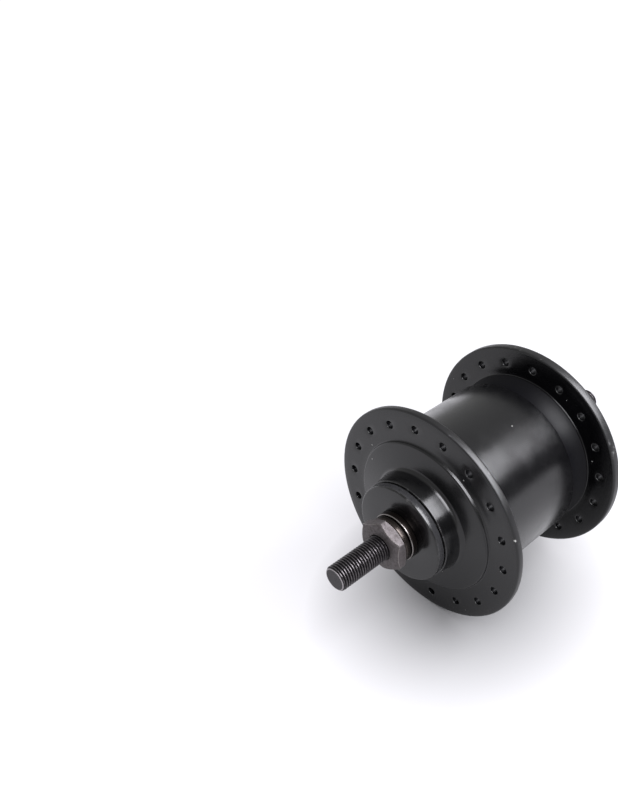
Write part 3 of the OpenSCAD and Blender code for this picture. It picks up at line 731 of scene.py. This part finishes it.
def cap_corners():
    """Section of the right casting: spigot with its groove, flared neck, flange, plateau and boss."""
    inner_y = HALF_SPAN - RIGHT_FLANGE_T
    width = FLARE_END_R - NECK_R
    height = FLARE_END_Y - FLARE_START_Y
    flare_r = (width * width + height * height) / (2 * width)
    end_deg = 180 - math.degrees(math.asin(height / flare_r))
    flare = arc((NECK_R + flare_r, FLARE_START_Y), flare_r, 180, end_deg, FLARE_STEPS)
    spigot_r = BARREL_BORE_R - FIT_GAP
    return [
        (WEB_BORE_R, INNER_WALL_Y, 0.3), (CAP_BORE_R, INNER_WALL_Y, 0), (CAP_BORE_R, SPIGOT_IN_Y, 0.2),
        (spigot_r, SPIGOT_IN_Y, 0.3), (spigot_r, GROOVE_Y - GROOVE_W / 2, 0),
        (GROOVE_R, GROOVE_Y - GROOVE_W / 2, 0), (GROOVE_R, GROOVE_Y + GROOVE_W / 2, 0),
        (spigot_r, GROOVE_Y + GROOVE_W / 2, 0), (spigot_r, BARREL_END_Y, 0), (NECK_R, BARREL_END_Y, 0),
    ] + [(r, y, 0) for r, y in flare] + [
        (FLARE_END_R, inner_y, 0.2), (FACE_IN_R, inner_y, 0), (FACE_OUT_R, inner_y, 0),
        (FLANGE_R, inner_y, RIM_ROUND),
    ] + end_corners()


def casting_slot(a, b):
    """Material slot of the strip between two outline points."""
    r = (a[0] + b[0]) / 2
    y = (a[1] + b[1]) / 2
    if r > CUP_SEAT_R and y > BOSS_END_Y - BOSS_EDGE_ROUND - 0.02:
        return EDGE_SLOT
    if BOSS_R - 0.1 < r < BOSS_ROOT_R and y > BOSS_SIDE_FROM_Y:
        return BOSS_SLOT
    if BARREL_END_Y < y < NECK_FINISH_END_Y and NECK_R <= r < FLARE_END_R:
        return NECK_SLOT
    return PAINT_SLOT


def hole_mouth(bm, inner_row, outer_row, y, inwards):
    """Fills a flange face between two arcs round a spoke hole and returns the ring where its wall starts."""
    def side_points(a, b):
        return [bm.verts.new(a.co.lerp(b.co, k / SIDE_STEPS)) for k in range(1, SIDE_STEPS)]

    left = side_points(inner_row[0], outer_row[0])
    right = side_points(inner_row[-1], outer_row[-1])
    last = inner_row + right + outer_row[::-1] + left[::-1]
    angles = [math.atan2(v.co.z, v.co.x - SPOKE_CIRCLE_R) for v in last]
    mouth_r = SPOKE_HOLE_R + SPOKE_HOLE_ROUND

    def ring(radius, ring_y):
        return [Vector((SPOKE_CIRCLE_R + radius * math.cos(a), ring_y, radius * math.sin(a))) for a in angles]

    mouth = ring(mouth_r, y)
    rows = [([v.co.lerp(p, share) for v, p in zip(last, mouth)], PAINT_SLOT) for share in (0.5, 1)]
    for step in range(1, MOUTH_STEPS + 1):
        a = math.radians(90 * step / MOUTH_STEPS)
        depth = SPOKE_HOLE_ROUND * (1 - math.cos(a))
        rows.append((ring(mouth_r - SPOKE_HOLE_ROUND * math.sin(a), y + inwards * depth), EDGE_SLOT))
    for points, slot in rows:
        row = [bm.verts.new(p) for p in points]
        bridge(bm, last, row, slot)
        last = row
    return last


def flanged_casting(name, corners, side, first_deg, tree):
    """A casting: the sector of one spoke hole, repeated round the axle."""
    outline = rounded(corners)
    bm = bmesh.new()
    half = math.pi / SPOKES
    angles = [half * (2 * k / ARC_STEPS - 1) for k in range(ARC_STEPS + 1)]
    rows = [[bm.verts.new((r * math.cos(a), y, r * math.sin(a))) for a in angles] for r, y in outline]
    walls = []
    for j, here in enumerate(outline):
        j2 = (j + 1) % len(outline)
        there = outline[j2]
        if sorted((here[0], there[0])) == [FACE_IN_R, FACE_OUT_R]:
            inwards = 1 if here[1] < HALF_SPAN - 1 else -1
            low, high = (rows[j], rows[j2]) if here[0] < there[0] else (rows[j2], rows[j])
            walls.append(hole_mouth(bm, low, high, here[1], inwards))
        else:
            bridge(bm, rows[j], rows[j2], casting_slot(here, there), closed=False)
    bridge(bm, walls[0], walls[1], NECK_SLOT)
    bmesh.ops.scale(bm, verts=bm.verts, vec=(1, side, 1))
    sector = linked(name, bm, CASTING_FINISHES.values())
    return grown(sector, tree, {"Sectors": SPOKES, "First Angle": math.radians(first_deg),
                                "Seam": SEAM * MM, **CASTING_FINISHES})


def build_castings():
    """The shell and the flange cap pressed into it."""
    tree = round_the_axle_tree()
    shell = flanged_casting("painted_shell", shell_corners(), LEFT, LEFT_SPOKE_DEG, tree)
    stand_for(shell, "hub_shell", "shell")
    cap = flanged_casting("painted_flange_cap", cap_corners(), RIGHT, RIGHT_SPOKE_DEG, tree)
    stand_for(cap, "right_flange_cap", "shell")


# ---------------------------------------------------------------- what stands on the axle

# The second slot holds rubbed paint on the dust caps' rims, and a painted highlight on the edges of the nuts
# and the left collar.
PLAIN_SLOT, WEAR_AND_HIGHLIGHT_SLOT = range(2)
TOLERANCE = 0.001


def dust_cap(name, side):
    """Shallow cap whose rim has a rubbed edge."""
    recess_y = DUST_CAP_IN_Y + DUST_CAP_RECESS_DEPTH
    corners = [
        (BORE_R, recess_y, 0), (DUST_CAP_RECESS_R, recess_y, 0), (DUST_CAP_RECESS_R, DUST_CAP_IN_Y, 0.15),
        (DUST_CAP_R, DUST_CAP_IN_Y, 0.25), (DUST_CAP_R, DUST_CAP_OUT_Y, DUST_CAP_ROUND),
        (BORE_R, DUST_CAP_OUT_Y, 0.2),
    ]
    edge_r = DUST_CAP_R - DUST_CAP_ROUND - 0.05
    edge_y = DUST_CAP_OUT_Y - DUST_CAP_ROUND - 0.01

    def slot_of(a, b):
        on_edge = min(a[0], b[0]) > edge_r and max(a[1], b[1]) > edge_y
        return WEAR_AND_HIGHLIGHT_SLOT if on_edge and abs(a[0] - b[0]) > TOLERANCE else PLAIN_SLOT

    return lathe(name, rounded(corners), side, [CAP, EDGE], slot_of=slot_of)


def left_collar():
    """Collar with a narrow neck against the lock washer, and a painted highlight on its outer end edge."""
    in_y = DUST_CAP_OUT_Y
    neck_y = WASHER_IN_Y - COLLAR_NECK_LEN
    corners = [
        (BORE_R, in_y, 0), (SPACER_R, in_y, 0.2), (SPACER_R, neck_y, COLLAR_ROUND),
        (COLLAR_NECK_R, neck_y, 0.1), (COLLAR_NECK_R, WASHER_IN_Y, 0.1), (BORE_R, WASHER_IN_Y, 0),
    ]
    edge = COLLAR_ROUND + 0.01

    def slot_of(a, b):
        r = (a[0] + b[0]) / 2
        y = (a[1] + b[1]) / 2
        return WEAR_AND_HIGHLIGHT_SLOT if r > SPACER_R - edge and y > neck_y - edge else PLAIN_SLOT

    return lathe("browned_collar", rounded(corners), LEFT, [COLLAR, EDGE_HIGHLIGHT], slot_of=slot_of)


def flat_ring(name, outer_r, from_y, to_y, side, material, edge=0.2):
    """A washer or spacer with soft edges."""
    corners = [(BORE_R, from_y, 0.1), (outer_r, from_y, edge), (outer_r, to_y, edge), (BORE_R, to_y, 0.1)]
    return lathe(name, rounded(corners), side, [material])


def section(x, half_w, low_y, high_y, round_r, inset=0.0):
    """Points of a rounded rectangle across x, drawn in by inset."""
    low = low_y + inset + round_r
    high = high_y - inset - round_r
    side = half_w - inset - round_r
    quarters = (((high, side), 0), ((low, side), 90), ((low, -side), 180), ((high, -side), 270))
    points = []
    for centre, first_deg in quarters:
        points += arc(centre, round_r, first_deg, first_deg + 90, CORNER_STEPS)
    return [(x, y, z) for y, z in points]


def connector():
    """Moulded ring on the axle and the block with the lamp plug's socket and its grip ribs."""
    low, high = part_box("connector_housing")
    mouth_x = low.x / MM
    ring_r = high.x / MM
    block_in_y = low.y / MM
    block_out_y = high.y / MM
    ring_in_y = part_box("right_spacer")[1].y / MM
    ring_out_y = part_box("earth_washer")[0].y / MM
    corners = [
        (BORE_R, ring_in_y, 0.1), (ring_r, ring_in_y, 0.4),
        (ring_r, ring_out_y, 0.5), (BORE_R, ring_out_y, 0.1),
    ]
    ring = lathe("connector_ring", rounded(corners), RIGHT, [NYLON])
    wall = CONNECTOR_WALL
    block = (CONNECTOR_HALF_W, block_in_y, block_out_y, CONNECTOR_ROUND)
    socket = (CONNECTOR_HALF_W - wall, block_in_y + wall, block_out_y - wall, SOCKET_ROUND)
    body = loft("connector_block", [
        section(-CONNECTOR_FROM_X - 0.3, *block, 0.3), section(-CONNECTOR_FROM_X - 0.6, *block),
        section(mouth_x + 0.5, *block), section(mouth_x + 0.15, *block, 0.15), section(mouth_x, *block, 0.45),
        section(mouth_x, *socket, -0.25), section(mouth_x + 0.25, *socket),
        section(mouth_x + SOCKET_DEPTH, *socket),
    ], NYLON)
    rib = (GRIP_RIB_HALF_W, block_out_y - 0.4, block_out_y + GRIP_RIB_HEIGHT, 0.2)
    ribs = loft("grip_ribs", [
        section(GRIP_RIB_X - 0.4, *rib, 0.1), section(GRIP_RIB_X - 0.25, *rib),
        section(GRIP_RIB_X + 0.25, *rib), section(GRIP_RIB_X + 0.4, *rib, 0.1),
    ], NYLON)
    grown(ribs, in_a_row_tree(), {"Count": GRIP_RIBS, "Step": GRIP_RIB_STEP * MM, "Finish": NYLON})
    return join("moulded_connector", [body, ring, ribs])


def tabbed_washer():
    """Earth washer whose tab reaches the connector's block."""
    low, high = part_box("earth_washer")
    in_y = low.y / MM
    out_y = high.y / MM
    ring_r = high.x / MM
    ring = flat_ring("zinc_washer", ring_r, in_y, out_y, RIGHT, ZINC, 0.1)
    plate = (TAB_HALF_W, in_y, out_y, TAB_ROUND)
    tab = loft("washer_tab", [section(TAB_OVERLAP - ring_r, *plate), section(low.x / MM, *plate)], ZINC)
    return join("zinc_tab_washer", [ring, tab])


def locknut(name, side, first_deg):
    """Hexagon nut whose corners are turned down on both faces."""
    corner_r = NUT_FLATS / math.sqrt(3)
    slope = math.tan(math.radians(NUT_CHAMFER_DEG))
    chamfer = NUT_BORE_CHAMFER

    def outline(turn):
        across = math.radians(math.degrees(turn) % 60 - 30)
        r = min(NUT_FLATS / 2 / math.cos(across), corner_r - NUT_CORNER_CUT)
        drop = (r - NUT_FACE_R) * slope
        return [
            (BORE_R, NUT_IN_Y + chamfer), (BORE_R + chamfer, NUT_IN_Y), (NUT_FACE_R, NUT_IN_Y),
            (r - NUT_EDGE, NUT_IN_Y + drop - 0.03), (r, NUT_IN_Y + drop + 0.08),
            (r, NUT_OUT_Y - drop - 0.08), (r - NUT_EDGE, NUT_OUT_Y - drop + 0.03),
            (NUT_FACE_R, NUT_OUT_Y), (BORE_R + chamfer, NUT_OUT_Y), (BORE_R, NUT_OUT_Y - chamfer),
        ]

    # Painted highlight: the narrow rounded strips at the hexagon's edges take the brighter steel.
    def slot_of(a, b):
        on_edge = min(a[0], b[0]) > NUT_FACE_R and abs(abs(a[0] - b[0]) - NUT_EDGE) < TOLERANCE
        return WEAR_AND_HIGHLIGHT_SLOT if on_edge else PLAIN_SLOT

    return lathe(name, outline, side, [NUT, EDGE_HIGHLIGHT], first_deg, slot_of)


def threaded_end(name, side, tree):
    """One end of the axle, threaded from inside its locknut to the tip."""
    blank = bpy.data.objects.new(name, bpy.data.meshes.new(name))
    bpy.context.scene.collection.objects.link(blank)
    return grown(blank, tree, {
        "Start": THREAD_START_Y * MM, "Length": (AXLE_HALF - THREAD_START_Y) * MM, "Radius": AXLE_R * MM,
        "Pitch": THREAD_PITCH * MM, "Depth": THREAD_DEPTH * MM, "Tip Depth": TIP_DEPTH * MM,
        "Tip Slope": TIP_DEPTH / TIP_LEN, "Side": float(side), "Seam": THREAD_SEAM * MM,
        "Around": THREAD_POINTS_AROUND, "Along": THREAD_POINTS_ALONG, "Finish": THREAD,
    })


def plain_middle():
    """The axle between its threaded ends, with the lead's slot along one side."""
    low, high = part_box("lead_wire")
    slot_half = max(high.z, -low.z) / MM + FIT_GAP
    slot_from = low.y / MM - FIT_GAP
    slot_to = high.y / MM + FIT_GAP
    end_y = THREAD_START_Y
    half_deg = math.degrees(math.asin(slot_half / AXLE_R))
    wall = arc((0, 0), AXLE_R, -180 + half_deg, 180 - half_deg, AXLE_STEPS)
    floor_x = -AXLE_R + 2 * slot_half + LEAD_SLOT_SPARE
    notch_mouth = [(-math.sqrt(AXLE_R ** 2 - z * z), z) for z in (slot_half * 0.5, 0, -slot_half * 0.5)]
    notch_floor = [(floor_x, slot_half), (floor_x, 0), (floor_x, -slot_half)]

    def ring(y, cut):
        return [(x, y, z) for x, z in wall + (notch_floor if cut else notch_mouth)]

    rings = [ring(-end_y, False), ring(slot_from, False), ring(slot_from, True), ring(slot_to, True),
             ring(slot_to, False), ring(end_y, False)]
    return loft("axle_middle", rings, THREAD)


def build_axle():
    """The axle in one piece, from tip to tip."""
    tree = rolled_thread_tree()
    ends = [threaded_end("axle_end_left", LEFT, tree), threaded_end("axle_end_right", RIGHT, tree)]
    stand_for(join("threaded_axle", [plain_middle()] + ends), "axle", "axle")


def build_axle_hardware():
    """What the locknuts clamp on the axle, and the nuts."""
    stand_for(dust_cap("left_cap", LEFT), "left_dust_cap", "axle")
    stand_for(dust_cap("right_cap", RIGHT), "right_dust_cap", "axle")
    stand_for(left_collar(), "left_spacer", "axle")
    stand_for(connector(), "connector_housing", "axle")
    stand_for(tabbed_washer(), "earth_washer", "axle")
    spacer_out_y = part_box("right_spacer")[1].y / MM
    spacer = flat_ring("browned_ring", SPACER_FACE_R, DUST_CAP_OUT_Y, spacer_out_y, RIGHT, COLLAR)
    stand_for(spacer, "right_spacer", "axle")
    washer = flat_ring("browned_washer", WASHER_R, WASHER_IN_Y, WASHER_OUT_Y, LEFT, WASHER)
    stand_for(washer, "left_lock_washer", "axle")
    stand_for(locknut("left_nut", LEFT, LEFT_NUT_DEG), "left_locknut", "axle")
    stand_for(locknut("right_nut", RIGHT, RIGHT_NUT_DEG), "right_locknut", "axle")


# ---------------------------------------------------------------- stage

LIGHT_PLACE = (0.447, 0.22, 0.663)
LIGHT_AIM = (0, 0.22, 0)
LIGHT_SIZE = (1.30, 0.58)
LIGHT_WATTS = 41
LIGHT_COLOUR = (0.95, 0.95, 1.0)
DIM_WAY = (0.76, 0.58, 0.29)
DIM_FROM = 0.80
DIM_FULL = 0.96
WORLD_STRENGTH = 0.62
DIM_STRENGTH = 0.07
BACKDROP_STRENGTH = 0.87
FLOOR_HALF_W = 20000
# Painted shadow in the floor's glow: its middle, its reach, and the glow inside it, outside it and far out.
SHADE_MIDDLE = (0.010, -0.013)
SHADE_REACH = (0.047, 0.055)
SHADED_GLOW = 0.06
OPEN_GLOW = 0.78
FAR_GLOW = 0.24
CAMERA_PLACE = (0.13455, -0.18154, 0.19109)
CAMERA_AZIMUTH_DEG = 44.931
CAMERA_ELEVATION_DEG = 38.584


def long_soft_light():
    """The one lamp: a soft box above and beside the hub, long along the axle."""
    data = bpy.data.lights.new("long_box", "AREA")
    data.shape = "RECTANGLE"
    data.size, data.size_y = LIGHT_SIZE
    data.energy = LIGHT_WATTS
    data.color = LIGHT_COLOUR
    lamp = bpy.data.objects.new("long_box", data)
    lamp.location = LIGHT_PLACE
    lamp.rotation_euler = (Vector(LIGHT_AIM) - Vector(LIGHT_PLACE)).to_track_quat("-Z", "Y").to_euler()
    bpy.context.scene.collection.objects.link(lamp)


def studio_world():
    """Pale to look at. The light it gives dims round one direction, past the hub's right end."""
    world = bpy.data.worlds.new("studio")
    world.use_nodes = True
    bpy.context.scene.world = world
    tree = world.node_tree
    facing = tree.nodes.new("ShaderNodeVectorMath")
    facing.operation = "DOT_PRODUCT"
    tree.links.new(tree.nodes.new("ShaderNodeTexCoord").outputs["Generated"], facing.inputs[0])
    facing.inputs[1].default_value = DIM_WAY
    shade = placed(tree, "ShaderNodeMapRange", Value=facing.outputs["Value"],
                   From_Min=DIM_FROM, From_Max=DIM_FULL, To_Min=WORLD_STRENGTH, To_Max=DIM_STRENGTH)
    shade.interpolation_type = "SMOOTHSTEP"
    looked_at = tree.nodes.new("ShaderNodeLightPath").outputs["Is Camera Ray"]
    backdrop = maths(tree, "MULTIPLY", looked_at, BACKDROP_STRENGTH)
    strength = maths(tree, "MAXIMUM", backdrop, shade.outputs[0])
    tree.links.new(strength, tree.nodes["Background"].inputs["Strength"])
    tree.nodes["Background"].inputs["Color"].default_value = (1, 1, 1, 1)


def floor_glow():
    """White that glows, with a painted shadow: the glow is dimmer where the hub stands over it."""
    f = Finish("pale_floor", (0.1, 0.1, 0.1), 0.9, Emission_Color=(0.96, 0.95, 1, 1), Specular_IOR_Level=0.0)
    squares = []
    for axis, middle, reach_out in zip("XY", SHADE_MIDDLE, SHADE_REACH):
        apart = f.maths("DIVIDE", f.maths("SUBTRACT", f.axes[axis], middle), reach_out)
        squares.append(f.maths("MULTIPLY", apart, apart))
    distance = f.maths("SQRT", f.maths("ADD", *squares))
    # Painted shadow: the glow dims under and round the hub, and rises again far out.
    near = f.ramp(distance, 0.3, 1.2, SHADED_GLOW, OPEN_GLOW)
    far = f.ramp(distance, 2.5, 9, 0, FAR_GLOW)
    f.tree.links.new(f.maths("ADD", near, far), f.shader.inputs["Emission Strength"])
    dust = f.noise(0.02)
    return f.surface(f.blend(dust, (0.10, 0.10, 0.10), (0.11, 0.11, 0.11)), f.ramp(dust, 0, 1, 0.85, 0.95))


def build_stage():
    """World, floor and lamp."""
    studio_world()
    bm = bmesh.new()
    bmesh.ops.create_grid(bm, x_segments=1, y_segments=1, size=FLOOR_HALF_W)
    bmesh.ops.translate(bm, verts=bm.verts, vec=(0, 0, -FLANGE_R))
    linked("pale_floor", bm, [floor_glow()])
    long_soft_light()
    bpy.context.scene.view_settings.view_transform = "Standard"


def build_camera():
    """Looks down at the hub's left end, with the barrel behind it."""
    azimuth = math.radians(CAMERA_AZIMUTH_DEG)
    elevation = math.radians(CAMERA_ELEVATION_DEG)
    aim = Vector((-math.sin(azimuth) * math.cos(elevation), math.cos(azimuth) * math.cos(elevation),
                  -math.sin(elevation)))
    data = bpy.data.cameras.new("camera")
    data.lens = 36.479
    data.sensor_width = 36
    data.shift_x = -0.09725
    data.shift_y = 0.0625
    data.clip_start = 0.01
    camera = bpy.data.objects.new("camera", data)
    camera.location = CAMERA_PLACE
    camera.rotation_euler = aim.to_track_quat("-Z", "Y").to_euler()
    bpy.context.scene.collection.objects.link(camera)
    bpy.context.scene.camera = camera


finish_cad_nodes()
build_castings()
build_axle()
build_axle_hardware()
build_stage()
build_camera()
bpy.context.view_layer.update()
